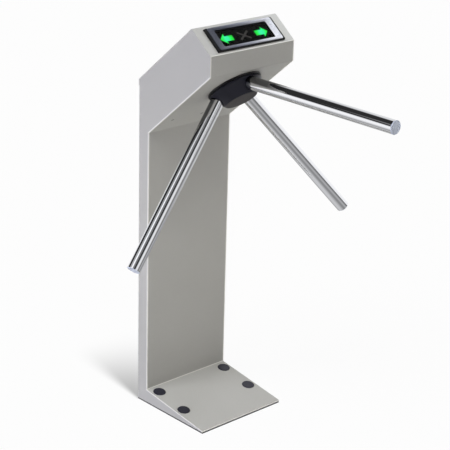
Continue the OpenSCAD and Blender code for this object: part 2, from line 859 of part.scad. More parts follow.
module main_shaft() {
  color(steel_tone) at_hub() difference() {
    rotate_extrude() polygon([
      [0, spigot_low], [shaft_r, spigot_low], [shaft_r, boss_top], [shaft_flange_r, boss_top],
      [shaft_flange_r, boss_top + shaft_flange_t], [shoulder_r, boss_top + shaft_flange_t],
      [shoulder_r, plate_top - seat_gap], [shaft_r, plate_top - seat_gap], [shaft_r, shaft_top - edge],
      [shaft_r - edge, shaft_top], [0, shaft_top]]);
    disc(bolt_r + running, spigot_low - overrun, bolt_seat + bolt_l + edge);
    between_arms(flange_screw_at) disc(flange_screw_r, boss_top - overrun, boss_top + shaft_flange_t + overrun);
  }
}

module shaft_screws() {
  color(steel_tone) at_hub() between_arms(flange_screw_at) translate([0, 0, boss_top]) union() {
    disc(flange_screw_r - running, edge - flange_screw_l, shaft_flange_t);
    disc(flange_head_r, shaft_flange_t, shaft_flange_t + flange_head_h);
  }
}

// A ball bearing: two rings with a groove between them on each face
track_shares = [0.3, 0.7];
module bearing(low) {
  track = (bearing_od - shaft_d) / 2;
  color(steel_tone) at_hub() difference() {
    ring(bearing_od / 2, shaft_d / 2, low, low + bearing_w);
    for (z = [low - overrun, low + bearing_w - edge]) {
      ring(shaft_d / 2 + track_shares[1] * track, shaft_d / 2 + track_shares[0] * track, z, z + edge + overrun);
    }
  }
}

module lower_bearing() {
  bearing(plate_top);
}

module upper_bearing() {
  bearing(upper_bearing_low);
}

// The housing that carries both bearings, and the screws of the housing and the damper
housing_wall = 6.5;
bearing_lip = 3;
housing_flange_r = 44;
housing_flange_t = 6;
housing_screw_at = 37;
screw_r = 2.4;
screw_head_r = 4.2;
screw_head_h = 4;
module on_housing_screws() {
  for (i = [0:3]) {
    at_hub() rotate([0, 0, 90 * i + 45]) translate([housing_screw_at, 0, 0]) children();
  }
}

module bearing_housing() {
  color(silver_tone) difference() {
    at_hub() union() {
      disc(bearing_od / 2 + housing_wall, plate_top, housing_top);
      disc(housing_flange_r, plate_top, plate_top + housing_flange_t);
    }
    at_hub() disc(bearing_od / 2, plate_top - overrun, plate_top + bearing_w);
    at_hub() disc(bearing_od / 2 - bearing_lip, plate_top, housing_top);
    at_hub() disc(bearing_od / 2, upper_bearing_low, housing_top + overrun);
    on_housing_screws() disc(screw_r + running, plate_top - overrun, plate_top + housing_flange_t + overrun);
  }
}

module cap_screw(low, seat) {
  disc(screw_r, low, seat);
  disc(screw_head_r, seat, seat + screw_head_h);
}

module housing_screws() {
  color(steel_tone) on_housing_screws() cap_screw(plate_h, plate_top + housing_flange_t);
  color(steel_tone) on_damper_screws() cap_screw(plate_h, plate_top + damper_flange_t);
}

// The index wheel: three lobes, one in line with each arm
lobe_root_r = 40;
index_window_r = 8;
module lobe() {
  wedge = [for (a = [-1, 1]) turned([0, -2 * lobe_r], a * lobe_half)];
  intersection() {
    circle(lobe_r);
    polygon([[0, 0], wedge[0], wedge[1]]);
  }
}

module index_wheel() {
  color(steel_tone) at_hub() difference() {
    union() {
      translate([0, 0, index_low]) linear_extrude(index_t) {
        circle(lobe_root_r);
        in_line_with_arms(0) lobe();
      }
      disc(shoulder_r, upper_bearing_top + seat_gap, index_low);
    }
    disc(shaft_d / 2, housing_top - wheel_gap, index_top + overrun);
    between_arms((lobe_root_r + shaft_d / 2) / 2)
      disc(index_window_r, index_low - overrun, index_top + overrun);
  }
}

// Involute gear teeth, thinned for backlash
pressure_angle = 20;
addendum = 0.9;
dedendum = 1.25;
flank_steps = 4;
function involute(a) = tan(a) * 180 / PI - a;
function tooth_half(teeth, r) =
  let (
    pitch_r = gear_module * teeth / 2,
    base_r = pitch_r * cos(pressure_angle),
    thin = mesh_backlash / 2 / pitch_r * 180 / PI
  ) 90 / teeth - thin + involute(pressure_angle) - involute(acos(min(1, base_r / r)));
function gear_outline(teeth) =
  let (
    low = gear_module * (teeth / 2 - dedendum),
    high = gear_module * (teeth / 2 + addendum)
  ) [
    for (i = [0:teeth - 1])
      for (side = [-1, 1])
        for (k = [0:flank_steps])
          let (
            r = low + (high - low) * (side < 0 ? k : flank_steps - k) / flank_steps,
            a = 360 * i / teeth + side * tooth_half(teeth, r)
          ) [r * cos(a), r * sin(a)]];

drive_teeth = arms * pinion_teeth;
pinion_at = gear_module * (drive_teeth + pinion_teeth) / 2 + mesh_backlash;
gear_root_r = gear_module * (drive_teeth / 2 - dedendum);
gear_tip_r = gear_module * (drive_teeth / 2 + addendum);
gear_windows = 5;
gear_window_r = 14;
module drive_gear() {
  color(brass_tone) at_hub() difference() {
    union() {
      translate([0, 0, gear_low]) rotate(90) linear_extrude(gear_w) polygon(gear_outline(drive_teeth));
      disc(shoulder_r, index_top, gear_low);
    }
    disc(shaft_d / 2, index_top - overrun, gear_top + overrun);
    for (i = [1:gear_windows]) {
      rotate([0, 0, 360 * i / gear_windows]) translate([0, -(gear_root_r + shoulder_r) / 2, 0])
        disc(gear_window_r, gear_low - overrun, gear_top + overrun);
    }
  }
}

// The slotted disc that the sensor reads, and the nut that holds the stack
encoder_r = 50;
slot_l = 8;
slot_w = 4;
slots = 24;
module encoder_disc() {
  color(satin_black) at_hub() difference() {
    union() {
      disc(encoder_r, disc_low, disc_low + disc_t);
      disc(shoulder_r, gear_top, disc_low);
    }
    disc(shaft_d / 2, gear_top - overrun, disc_low + disc_t + overrun);
    for (i = [0:slots - 1]) {
      rotate([0, 0, 360 * i / slots]) translate([0, slot_l - encoder_r, 0])
        block(slot_w, slot_l, disc_low - overrun, disc_low + disc_t + overrun);
    }
  }
}

module shaft_nut() {
  color(steel_tone) at_hub() difference() {
    translate([0, 0, nut_low]) cylinder(r = shaft_d / 2 + nut_w, h = nut_h, $fn = 6);
    disc(shaft_d / 2, nut_low - overrun, nut_low + nut_h + overrun);
  }
}

// The sensor: a bracket beside the drive gear, with two jaws round the disc's edge
sensor_w = 16;
sensor_d = 8;
sensor_foot_t = 4;
sensor_gap = 2;
jaw_l = 20;
jaw_gap = 0.8;
jaw_rise = 4;
module position_sensor() {
  face = -gear_tip_r - sensor_gap;
  middle = face - sensor_d / 2;
  top = disc_low + disc_t + jaw_rise;
  color(satin_black) at_hub() difference() {
    union() {
      translate([0, middle, 0]) block(sensor_w, sensor_d, plate_top, top);
      translate([0, middle, 0]) block(3 * sensor_w, sensor_d, plate_top, plate_top + sensor_foot_t);
      translate([0, middle + jaw_l / 2, 0]) block(sensor_w, jaw_l + sensor_d, gear_top + jaw_gap, top);
    }
    translate([0, face + jaw_l, 0])
      block(sensor_w + 2 * overrun, 2 * jaw_l, disc_low - jaw_gap, disc_low + disc_t + jaw_gap);
  }
}

// The mechanism plate, the two posts at its front and the foot at its rear
plate_half_w = 118;
plate_front = 79;
foot_t = 3;
foot_w = 22;
plate_rear = hub_s - underside_screw_s + foot_w / 2;
front_post_x = 100;
front_post_y = 62;
front_post_r = 8;
module mechanism_plate() {
  color(steel_tone) difference() {
    at_hub() translate([-plate_half_w, -plate_front, plate_h])
      cube([2 * plate_half_w, plate_front + plate_rear, plate_t]);
    at_hub() disc(bearing_od / 2 - bearing_lip, plate_h - overrun, plate_top + overrun);
    on_housing_screws() disc(screw_r + running, plate_h - overrun, plate_top + overrun);
    on_damper_screws() disc(screw_r + running, plate_h - overrun, plate_top + overrun);
  }
}

module plate_posts() {
  color(steel_tone) at_hub() for (sx = [-1, 1]) {
    translate([sx * front_post_x, -front_post_y, 0]) disc(front_post_r, sheet_t, plate_h);
  }
}

module rear_foot() {
  color(steel_tone) at_hub() difference() {
    translate([0, plate_rear - foot_w / 2, 0]) difference() {
      block(2 * plate_half_w, foot_w, sheet_t, plate_h);
      translate([0, -foot_t, 0])
        block(2 * plate_half_w + 2 * overrun, foot_w, sheet_t + foot_t, plate_h - foot_t);
    }
    on_underside_screws() disc(small_screw_r, 0, sheet_t + foot_t + overrun);
  }
}

// Centring unit: a crank, geared three to one, whose spring pulls the arms to the nearest rest
damper_r = 27;
neck_r = 11;
damper_flange_r = 34;
damper_flange_t = 4;
damper_screw_at = 30.5;
spindle_r = 6;
spindle_low = plate_top + 2 * damper_flange_t;
crank_low = gear_top + wheel_gap;
crank_t = 4;
crank_r = 18;
pin_at = 12;
pin_r = 3;
pin_h = 10;
spring_h = crank_low + crank_t + pin_h / 2;
spring_post_at = 138;
post_r = 4;
module at_pinion() {
  at_hub() translate([0, pinion_at, 0]) children();
}

module on_damper_screws() {
  for (i = [0:3]) {
    at_pinion() rotate([0, 0, 90 * i + 45]) translate([damper_screw_at, 0, 0]) children();
  }
}

module damper_body() {
  color(satin_black) difference() {
    at_pinion() union() {
      disc(damper_r, plate_top, housing_top);
      disc(neck_r, plate_top, index_top);
      disc(damper_flange_r, plate_top, plate_top + damper_flange_t);
    }
    at_pinion() disc(spindle_r, spindle_low - seat_gap, gear_low);
    on_damper_screws() disc(screw_r + running, plate_top - overrun, plate_top + damper_flange_t + overrun);
    on_damper_screws() disc(screw_head_r + seat_gap, plate_top + damper_flange_t, index_top + overrun);
  }
}

module pinion() {
  color(brass_tone) at_pinion() union() {
    disc(spindle_r - running, spindle_low, crank_low + crank_t);
    translate([0, 0, gear_low]) rotate(180 / pinion_teeth - 90) linear_extrude(gear_w)
      polygon(gear_outline(pinion_teeth));
  }
}

module crank_disc() {
  color(steel_tone) at_pinion() difference() {
    union() {
      disc(crank_r, crank_low, crank_low + crank_t);
      translate([0, pin_at, 0]) disc(pin_r, crank_low + crank_t, crank_low + crank_t + pin_h);
    }
    disc(spindle_r, crank_low - overrun, crank_low + crank_t + overrun);
  }
}

centring_r = 4.5;
centring_wire = 0.8;
centring_turns = 12;
module centring_spring() {
  start = pinion_at + pin_at + pin_r + seat_gap + centring_wire;
  finish = spring_post_at - post_r - seat_gap - centring_wire;
  color(steel_tone) at_hub() translate([0, start, spring_h]) rotate([0, 0, 90])
    spring(centring_r, centring_wire, finish - start, centring_turns);
}

// Locking pawls: a bar outside the lobes, a tooth that swings in between them, and a tail for the plunger
pawl_gap = 0.5;
pawl_low = index_low + pawl_gap;
pawl_high = index_top - pawl_gap;
pivot_past_lobe = 8;
pivot_x = lobe_r + pivot_past_lobe;
tooth_y = 14.5;
pivot_y = tooth_y + pawl_reach;
pivot_r = 4;
eye_r = 9;
bar_w = 12;
tooth_w = 9;
tooth_tip_x = 46;
peg_at = 30;
peg_r = 2;
peg_h = 9;
tail_w = 12;
slot_slack = 0.3;
pin_slot_l = 4;
plunger_pin_r = 2.5;
mid_swing = pawl_swing / 2;

module mirrored(sx) {
  mirror([(1 + sx) / 2, 0, 0]) children();
}

// The left pawl, drawn about its pivot in the engaged position
module pawl_outline() {
  tail_l = tail_reach + tail_w / 2;
  difference() {
    union() {
      circle(eye_r);
      translate([-bar_w / 2, -pawl_reach - tooth_w / 2]) square([bar_w, pawl_reach + tooth_w / 2]);
      translate([-bar_w / 2, -pawl_reach - tooth_w / 2]) square([pivot_x - tooth_tip_x + bar_w / 2, tooth_w]);
      rotate(mid_swing) translate([-tail_l, -tail_w / 2]) square([tail_l, tail_w]);
    }
    circle(pivot_r + running);
  }
}

module pawl(sx) {
  color(steel_tone) at_hub() mirrored(sx) translate([-pivot_x, pivot_y, 0]) rotate([0, 0, -pawl_swing])
    difference() {
      union() {
        translate([0, 0, pawl_low]) linear_extrude(pawl_high - pawl_low) pawl_outline();
        translate([0, -peg_at, 0]) disc(peg_r, pawl_high, pawl_high + peg_h);
      }
      rotate([0, 0, mid_swing]) translate([-tail_reach, 0, 0]) {
        block(pin_slot_l, 2 * (plunger_pin_r + slot_slack), pawl_low - overrun, pawl_high + overrun);
        for (e = [-1, 1]) {
          translate([e * pin_slot_l / 2, 0, 0])
            disc(plunger_pin_r + slot_slack, pawl_low - overrun, pawl_high + overrun);
        }
      }
    }
}

module pawl_left() {
  pawl(-1);
}

module pawl_right() {
  pawl(1);
}

// Posts for the pawls, for their springs and for the centring spring
peg_rest = turned([0, -peg_at], -pawl_swing);
pawl_spring_h = pawl_high + peg_h / 2;
spring_peg_x = 112;
post_cap_w = 2;
post_cap_t = 2;
module pivot_posts() {
  cap_low = pawl_high + seat_gap;
  color(steel_tone) at_hub() for (sx = [-1, 1]) {
    translate([sx * pivot_x, pivot_y, 0]) {
      disc(eye_r - edge, plate_top, pawl_low - seat_gap);
      disc(pivot_r, plate_top, cap_low);
      disc(pivot_r + post_cap_w, cap_low, cap_low + post_cap_t);
    }
    translate([sx * spring_peg_x, pivot_y + peg_rest.y, 0]) disc(peg_r, plate_top, pawl_high + peg_h);
  }
  color(steel_tone) at_hub() translate([0, spring_post_at, 0])
    disc(post_r, plate_top, crank_low + crank_t + pin_h);
}

pawl_spring_r = 3.2;
pawl_spring_wire = 0.5;
pawl_spring_turns = 8;
module pawl_spring(sx) {
  start = pivot_x - peg_rest.x + peg_r + seat_gap + pawl_spring_wire;
  finish = spring_peg_x - peg_r - seat_gap - pawl_spring_wire;
  color(steel_tone) at_hub() mirrored(-sx) translate([start, pivot_y + peg_rest.y, pawl_spring_h])
    spring(pawl_spring_r, pawl_spring_wire, finish - start, pawl_spring_turns);
}

module pawl_spring_left() {
  pawl_spring(-1);
}

module pawl_spring_right() {
  pawl_spring(1);
}

// Solenoids, each on its own pedestal, and their plungers
plunger_x = pivot_x + tail_reach;
plunger_pin_rest = tail_reach * tan(mid_swing);
plunger_r = 5;
plunger_in = 34;
plunger_end_gap = 6;
pawl_mid = (pawl_low + pawl_high) / 2;
clevis_w = 10;
clevis_d = 7;
clevis_t = 3;
clevis_gap = 1.6;
tail_clear = tail_w / 2 / cos(mid_swing) + clevis_gap;
solenoid_gap = 4;
coil_r = 12;
yoke_half_h = 13;
yoke_w = 32;
yoke_l = 44;
yoke_t = 3;
pedestal_w = 24;
clevis_low = pivot_y + plunger_pin_rest + tail_clear;
yoke_start = clevis_low + clevis_d + solenoid_gap;

module solenoid(sx) {
  yoke_foot = pawl_mid - yoke_half_h - yoke_t;
  color(paint_dark) at_hub() mirrored(sx) translate([-plunger_x, yoke_start, 0]) difference() {
    union() {
      for (y = [yoke_t / 2, yoke_l - yoke_t / 2]) {
        translate([0, y, 0]) block(yoke_w, yoke_t, yoke_foot, pawl_mid + yoke_half_h);
      }
      translate([0, yoke_l / 2, 0]) block(yoke_w, yoke_l, yoke_foot, yoke_foot + yoke_t);
      translate([0, yoke_l / 2, 0]) block(pedestal_w, yoke_l - 2 * yoke_t, plate_top, yoke_foot + yoke_t);
      translate([0, yoke_t / 2, pawl_mid]) rotate([-90, 0, 0]) cylinder(r = coil_r, h = yoke_l - yoke_t);
    }
    translate([0, -overrun, pawl_mid]) rotate([-90, 0, 0])
      cylinder(r = plunger_r + 2 * running, h = plunger_in + overrun);
  }
}

module solenoid_left() {
  solenoid(-1);
}

module solenoid_right() {
  solenoid(1);
}

module plunger(sx) {
  pin_y = pivot_y + plunger_pin_rest;
  lug_low = pawl_high + seat_gap;
  lug_start = pin_y - clevis_w / 2;
  lug_end = clevis_low + clevis_d;
  color(chrome_tone) at_hub() mirrored(sx) translate([-plunger_x, 0, 0]) {
    translate([0, clevis_low, pawl_mid]) rotate([-90, 0, 0])
      cylinder(r = plunger_r, h = clevis_d + solenoid_gap + plunger_in - plunger_end_gap);
    translate([0, clevis_low + clevis_d / 2, 0])
      block(clevis_w, clevis_d, pawl_mid - plunger_r, lug_low + clevis_t);
    translate([0, (lug_start + lug_end) / 2, 0])
      block(clevis_w, lug_end - lug_start, lug_low, lug_low + clevis_t);
    translate([0, pin_y, 0]) disc(plunger_pin_r, pawl_low, lug_low + clevis_t);
  }
}

module plunger_left() {
  plunger(-1);
}

module plunger_right() {
  plunger(1);
}

// The control board in the column, on four spacers, with its relays, transformer and terminals
board_side_gap = 6;
board_w = 2 * (post_x - post_w / 2 - board_side_gap);
board_h = 140;
board_low = 530;
board_stand = 6;
spacer_post_r = 3.5;
board_margin = 8;
board_rear = rear_y - column_depth + sheet_t + board_stand;
module control_board() {
  color(board_tone) translate([-board_w / 2, board_rear, board_low]) cube([board_w, board_t, board_h]);
}

relay = [16, 12, 20];
relay_pitch = 29;
transformer = [34, 16, 30];
terminals = [78, 12, 12];
part_height_shares = [0.06, 0.28, 0.62];
module board_parts() {
  face = board_rear + board_t;
  spacer_x = board_w / 2 - board_margin;
  spacer_heights = [board_low + board_margin, board_low + board_h - board_margin];
  color(silver_tone) for (sx = [-1, 1]) {
    for (z = spacer_heights) {
      translate([sx * spacer_x, board_rear - board_stand, z]) rotate([-90, 0, 0])
        cylinder(r = spacer_post_r, h = board_stand);
    }
  }
  color(green_tone) translate([-terminals.x / 2, face, board_low + part_height_shares[0] * board_h])
    cube(terminals);
  color(paint_dark) translate([-transformer.x, face, board_low + part_height_shares[1] * board_h])
    cube(transformer);
  color(satin_black) for (i = [-1:1]) {
    translate([i * relay_pitch - relay.x / 2, face, board_low + part_height_shares[2] * board_h]) cube(relay);
  }
}

// The cover's lock, whose cam turns behind the catch on the shell's wall
lock_flange_r = 11;
lock_flange_t = 2.5;
module lock_barrel() {
  color(chrome_tone) at_lock() difference() {
    union() {
      disc(lock_body_r, lock_low, head_depth);
      disc(lock_flange_r, head_depth, head_depth + lock_flange_t);
    }
    disc(lock_plug_r, lock_low - overrun, head_depth + lock_flange_t + overrun);
  }
}

key_slot = [1.6, 7];
key_slot_depth = 4;
module lock_cam() {
  plug_top = head_depth + lock_flange_t;
  color(steel_tone) at_lock() difference() {
    union() {
      disc(lock_plug_r - running, cam_top - cam_t, plug_top);
      translate([(cam_l - cam_w) / 2, 0, 0]) block(cam_l, cam_w, cam_top - cam_t, cam_top);
    }
    block(key_slot.x, key_slot.y, plug_top - key_slot_depth, plug_top + overrun);
  }
}

stand_shell();
column_cover();
head_cover();
base_plate();
anchor_sleeves();
anchor_plugs();
frame_posts();
cover_screws();
underside_screws();
display_bezel();
display_trim();
display_glass();
symbol_mask();
arrow_left();
arrow_right();
cross_symbol();
lamp_board();
hub_collar();
hub_body();
hub_cap();
hub_bolt();
arm_1();
arm_2();
arm_3();
arm_cap_1();
arm_cap_2();
arm_cap_3();
arm_root_plugs();
arm_set_screws();
main_shaft();
shaft_screws();
mechanism_plate();
plate_posts();
rear_foot();
bearing_housing();
housing_screws();
lower_bearing();
upper_bearing();
index_wheel();
drive_gear();
encoder_disc();
shaft_nut();
position_sensor();
damper_body();
pinion();
crank_disc();
centring_spring();
pawl_left();
pawl_right();
pivot_posts();
pawl_spring_left();
pawl_spring_right();
solenoid_left();
solenoid_right();
plunger_left();
plunger_right();
control_board();
board_parts();
lock_barrel();
lock_cam();
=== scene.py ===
import json
import math

import bpy
from mathutils import Matrix, Vector


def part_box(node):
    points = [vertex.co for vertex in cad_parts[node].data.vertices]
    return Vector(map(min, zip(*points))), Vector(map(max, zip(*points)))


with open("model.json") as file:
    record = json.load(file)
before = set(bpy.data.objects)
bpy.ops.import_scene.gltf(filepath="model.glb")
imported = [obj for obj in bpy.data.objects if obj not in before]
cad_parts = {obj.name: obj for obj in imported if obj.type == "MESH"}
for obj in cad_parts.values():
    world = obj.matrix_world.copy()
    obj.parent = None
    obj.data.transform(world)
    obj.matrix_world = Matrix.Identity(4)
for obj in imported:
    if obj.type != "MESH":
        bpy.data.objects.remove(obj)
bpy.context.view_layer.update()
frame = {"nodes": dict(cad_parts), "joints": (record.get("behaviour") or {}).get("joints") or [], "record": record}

nodes = frame["nodes"]

# in metres
MM, MICRON = 1e-3, 1e-6

# A noise lies mostly between these values, so most effects are spread over them.
NOISE_LOW, NOISE_HIGH = 0.3, 0.7

# The rotor's axis: a point of it inside the hub, and its way into the head.
rotor_spin = next(joint for joint in frame["joints"] if joint["name"] == "rotor_spin")
HUB, ROTOR_AXIS = Vector(rotor_spin["pos_m"]), Vector(rotor_spin["axis"])


def srgb(red, green, blue):
    """A screen colour, 0 to 255, as linear RGBA."""
    def linear(value):
        value /= 255
        return value / 12.92 if value <= 0.04045 else ((value + 0.055) / 1.055) ** 2.4
    return (linear(red), linear(green), linear(blue), 1.0)


def shade(colour, share):
    """A colour with its channels scaled to a share."""
    return tuple(channel * share for channel in colour[:3]) + (1.0,)


def grey(level):
    return (level, level, level, 1.0)


class Wiring:
    """Short ways to add nodes to a tree and to join them."""

    def __init__(self, tree):
        self.tree = tree

    def node(self, kind, inputs=(), **settings):
        """A new node with its settings made and its inputs set or linked."""
        made = self.tree.nodes.new(kind)
        for setting, value in settings.items():
            setattr(made, setting, value)
        for socket, value in dict(inputs).items():
            if isinstance(value, bpy.types.NodeSocket):
                self.tree.links.new(value, made.inputs[socket])
            else:
                made.inputs[socket].default_value = value
        return made

    def maths(self, operation, a, b=0.0):
        return self.node("ShaderNodeMath", {0: a, 1: b}, operation=operation).outputs[0]

    def measure(self, operation, a, b=(0, 0, 0)):
        """A number from vectors, such as a length, a distance or a dot product."""
        made = self.node("ShaderNodeVectorMath", {0: a, 1: b}, operation=operation)
        return made.outputs["Value"]

    def parted(self, vector):
        """A vector's X, Y and Z."""
        return self.node("ShaderNodeSeparateXYZ", {0: vector}).outputs

    def ramp(self, fac, *stops):
        """A colour that changes from stop to stop, each (fac, colour)."""
        made = self.node("ShaderNodeValToRGB", {"Fac": fac})
        points = made.color_ramp.elements
        while len(points) < len(stops):
            points.new(0.5)
        for point, (at, colour) in zip(points, stops):
            point.position = at
            point.color = colour
        return made.outputs["Color"]


# Materials of the object

class Surface(Wiring):
    """A node material, built up one effect at a time in the part's own coordinates."""

    # How far from a folded edge the painted highlight reaches, in metres: fully up to the first, not at all from
    # the second on.
    RUB_FULL, RUB_GONE = 0.002, 0.0034

    def __init__(self, name, **sockets):
        self.material = bpy.data.materials.new(name)
        self.material.use_nodes = True
        super().__init__(self.material.node_tree)
        self.shader = self.tree.nodes["Principled BSDF"]
        self.place = self.node("ShaderNodeTexCoord").outputs["Object"]
        for socket, value in sockets.items():
            self.shader.inputs[socket.replace("_", " ")].default_value = value

    def feed(self, output, socket):
        self.tree.links.new(output, self.shader.inputs[socket])

    def noise(self, scale, detail=3.0, stretch=None):
        """Noise over the part. A stretch draws it out, for brushing and tool marks."""
        place = self.place
        if stretch:
            mapping = self.node("ShaderNodeMapping", {"Vector": place, "Scale": stretch})
            place = mapping.outputs["Vector"]
        made = self.node("ShaderNodeTexNoise", {
            "Vector": place, "Scale": scale, "Detail": detail})
        return made.outputs["Fac"]

    def between(self, fac, low, high, start=NOISE_LOW, end=NOISE_HIGH):
        """Low where fac is at start, high where it is at end, and held beyond both."""
        made = self.node("ShaderNodeMapRange", {
            "Value": fac, "From Min": start, "From Max": end, "To Min": low, "To Max": high})
        return made.outputs["Result"]

    def rise(self, fac, start, end):
        return self.between(fac, 0.0, 1.0, start, end)

    def fall(self, fac, start, end):
        return self.between(fac, 1.0, 0.0, start, end)

    def toned(self, fac, colour, low, high):
        """A colour at its low share where noise is low, and at its high share where it is high."""
        return self.ramp(fac, (NOISE_LOW, shade(colour, low)), (NOISE_HIGH, shade(colour, high)))

    def mixed(self, fac, a, b, blend="MIX"):
        """Two colours mixed. Sockets go by number, as the node's names for them come up twice."""
        made = self.node(
            "ShaderNodeMix", {0: fac, 6: a, 7: b}, data_type="RGBA", blend_type=blend)
        return made.outputs[2]

    def times(self, a, b):
        """One colour multiplied by another."""
        return self.mixed(1.0, a, b, "MULTIPLY")

    def depth_under(self, flat):
        """Depth of a point below a flat's plane, in metres."""
        point, normal = flat
        away = self.measure("DOT_PRODUCT", self.place, normal)
        return self.maths("SUBTRACT", point.dot(normal), away)

    def painted_edge_highlight(self, flats, half_width, gain):
        """A painted highlight: a tone that rises on both sides of the flats' side edges, and on the fold below the
        display."""
        facing = self.parted(self.node("ShaderNodeNewGeometry").outputs["True Normal"])
        sideways = self.rise(self.maths("ABSOLUTE", facing["X"]), 0.95, 0.98)
        not_up = self.fall(facing["Z"], 0.01, 0.04)
        ahead = self.maths("SUBTRACT", not_up, sideways)

        depth = self.depth_under(flats[0])
        for flat in flats[1:]:
            depth = self.maths("MAXIMUM", depth, self.depth_under(flat))
        near_flat = self.fall(depth, self.RUB_FULL, self.RUB_GONE)
        flank = self.maths("MULTIPLY", sideways, near_flat)

        reach = self.maths("ABSOLUTE", self.parted(self.place)["X"])
        near_side = self.rise(reach, half_width - self.RUB_GONE, half_width - self.RUB_FULL)
        front = self.maths("MULTIPLY", near_side, ahead)

        past_front = self.rise(facing["Z"], 0.05, 0.1)
        before_slope = self.fall(facing["Z"], 0.70, 0.76)
        fold = self.maths("MULTIPLY", past_front, before_slope)

        edges = self.maths("MAXIMUM", self.maths("MAXIMUM", flank, front), fold)
        return self.between(edges, 1.0, gain, 0.0, 1.0)

    def bump(self, *layers):
        """Layers of (height 0..1, depth in metres), one on the other."""
        normal = None
        for height, depth in layers:
            made = self.node("ShaderNodeBump", {
                "Height": height, "Distance": depth, "Strength": 1.0})
            if normal:
                self.tree.links.new(normal, made.inputs["Normal"])
            normal = made.outputs["Normal"]
        self.feed(normal, "Normal")


def largest_flat(name, facing):
    """A point and the normal of a part's largest flat that faces a way."""
    mesh = nodes[name].data
    flat = max(mesh.polygons, key=lambda face: face.area * (face.normal.dot(facing) > 0.98))
    return flat.center.copy(), flat.normal.copy()


# Flats of the shell's folded skin: the column's front, the head's underside, the wedge's top.
SKIN = [
    largest_flat("stand_shell", way.normalized())
    for way in (Vector((0, -1, 0)), -ROTOR_AXIS, Vector((0, -0.15, 0.99)))
]


def powder_coat(name, colour, rough=0.5):
    """Satin powder coat: a fine orange peel, a faint sparkle of tone, and slow drift over a panel.
    The shell's folded edges are paler: a painted highlight."""
    grain, highlight_gain = 900.0, 1.75
    s = Surface(name, Roughness=rough)
    fine = s.noise(grain, 2.0)
    slow = s.noise(5.0)
    tone = s.toned(fine, colour, 0.955, 1.045)
    drift = s.ramp(slow, (NOISE_LOW, (0.975, 0.975, 0.97, 1)), (NOISE_HIGH, grey(1.02)))
    # painted highlight along the shell's folded edges
    edges = s.painted_edge_highlight(SKIN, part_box("stand_shell")[1].x, highlight_gain)
    s.feed(s.times(s.times(tone, drift), edges), "Base Color")
    s.feed(s.between(s.noise(grain * 0.5), rough - 0.06, rough + 0.06), "Roughness")
    s.bump((s.noise(grain * 0.35, 2.0), 60 * MICRON), (fine, 25 * MICRON))
    return s.material


def moulded(name, colour, rough, gloss=0.5):
    """Moulded plastic: spark-eroded grain in the sheen, a little unevenness in tone."""
    grain = 1400.0
    s = Surface(name, Roughness=rough, Specular_IOR_Level=gloss)
    fine = s.noise(grain, 2.0)
    tone = s.toned(s.noise(14.0, 4.0), colour, 0.88, 1.12)
    speckle = s.toned(fine, grey(1.0), 0.93, 1.05)
    s.feed(s.times(tone, speckle), "Base Color")
    s.feed(s.between(s.noise(grain * 0.4), rough - 0.07, rough + 0.07), "Roughness")
    s.bump((fine, 30 * MICRON))
    return s.material


def metal(name, colour, rough, scale, stretch=(1, 1, 1), drift=0.08, depth=10 * MICRON,
          metallic=1.0, painted_dark_reflection=None):
    """Bare or plated metal: tool marks drawn out along one way, with a slow change in tone. A blasted, milky
    finish is less metallic. An optional mask paints a dark reflection on from place to place."""
    s = Surface(name, Roughness=rough, Metallic=metallic)
    marks = s.noise(scale, 4.0, stretch)
    tone = s.toned(s.noise(9.0), colour, 1 - drift, 1 + drift * 0.4)
    base = s.mixed(s.between(marks, 0.0, 0.35), tone, shade(colour, 1 - drift * 1.6))
    if painted_dark_reflection:
        base = s.times(base, painted_dark_reflection(s))
    s.feed(base, "Base Color")
    s.feed(s.between(marks, rough * 0.85, rough * 1.25), "Roughness")
    s.bump((marks, depth))
    return s.material


def painted_root_reflection(s):
    """A painted dark reflection on an arm's root, on the side that turns past the head."""
    dark_to, clear_from, darkest = 0.125, 0.18, 0.2
    at_root = s.fall(s.measure("DISTANCE", s.place, HUB), dark_to, clear_from)
    normal = s.node("ShaderNodeTexCoord").outputs["Normal"]
    to_head = s.rise(s.measure("DOT_PRODUCT", normal, ROTOR_AXIS), 0.2, 0.34)
    return s.between(s.maths("MULTIPLY", at_root, to_head), 1.0, darkest, 0.0, 1.0)


def anodised_painted_sheen(name, node, rough, *painted_sheen_tones):
    """Brushed anodised frame with a painted sheen: its colour changes from tone to tone across the part."""
    low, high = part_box(node)
    s = Surface(name, Roughness=rough, Metallic=0.6)
    marks = s.noise(1500.0, 4.0, (0.05, 1, 1))
    across = s.rise(s.parted(s.place)["X"], low.x, high.x)
    brushed = s.ramp(s.between(marks, 0.0, 1.0), (0.0, grey(0.98)), (1.0, grey(1.015)))
    s.feed(s.times(s.ramp(across, *painted_sheen_tones), brushed), "Base Color")
    s.feed(s.between(marks, rough - 0.01, rough + 0.015), "Roughness")
    s.bump((marks, MICRON))
    return s.material


def lit_lens(name, node, edge, core):
    """A moulded lens with a lamp behind its middle: the light falls off to the edge."""
    reach, unevenness = 0.021, 0.0022
    low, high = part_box(node)
    centre = (low + high) / 2
    s = Surface(name, Roughness=0.35, Base_Color=shade(edge, 0.15), Emission_Strength=1.0)
    from_lamp = s.measure("DISTANCE", s.place, centre)
    cells = s.between(s.noise(260.0, 2.0), -unevenness, unevenness)
    glow = s.rise(s.maths("ADD", from_lamp, cells), 0.0, reach)
    light = s.ramp(glow, (0.0, core), (0.3, core), (0.62, edge), (1.0, shade(edge, 0.55)))
    s.feed(light, "Emission Color")
    s.bump((s.noise(700.0), 40 * MICRON))
    return s.material


def clear_glass(name, colour):
    """Clear sheet with an anti-glare coat and the faintest haze of handling."""
    s = Surface(name, Base_Color=colour, IOR=1.12, Transmission_Weight=1.0)
    s.feed(s.between(s.noise(45.0, 4.0), 0.0, 0.05), "Roughness")
    return s.material


